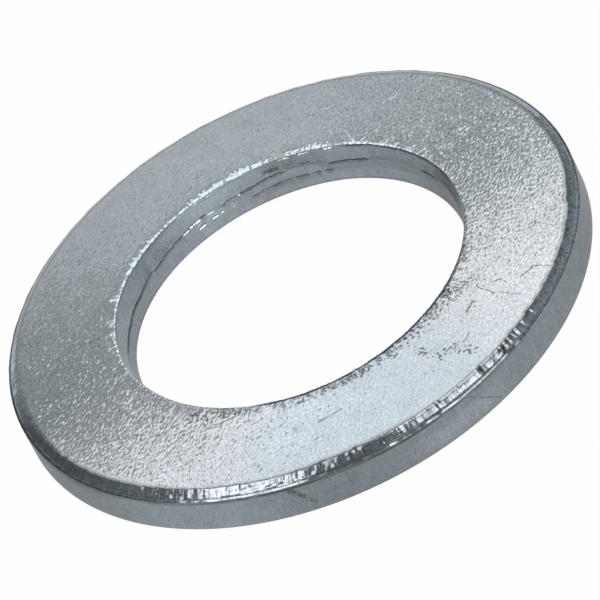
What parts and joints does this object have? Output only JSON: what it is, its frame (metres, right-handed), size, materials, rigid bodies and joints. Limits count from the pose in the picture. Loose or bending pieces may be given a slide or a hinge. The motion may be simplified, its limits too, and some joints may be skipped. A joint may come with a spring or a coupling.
{
  "type": "flat washer",
  "caption": "Flat round steel washer, bright zinc plated, with a punched bore and a chamfered outer edge, that spreads the clamping load of a bolt or nut.",
  "frame": {"origin": "centre of the bore, on the flat bottom face", "axes": "+Z along the bore axis, from the bottom face towards the chamfered top face; X and Y are free, because the ring is round"},
  "size_m": [0.0384, 0.0384, 0.0029],
  "materials": {
    "zinc_plate": "satin"
  },
  "bodies": {
    "root": {"washer": "zinc_plate"}
  },
  "joints": []
}
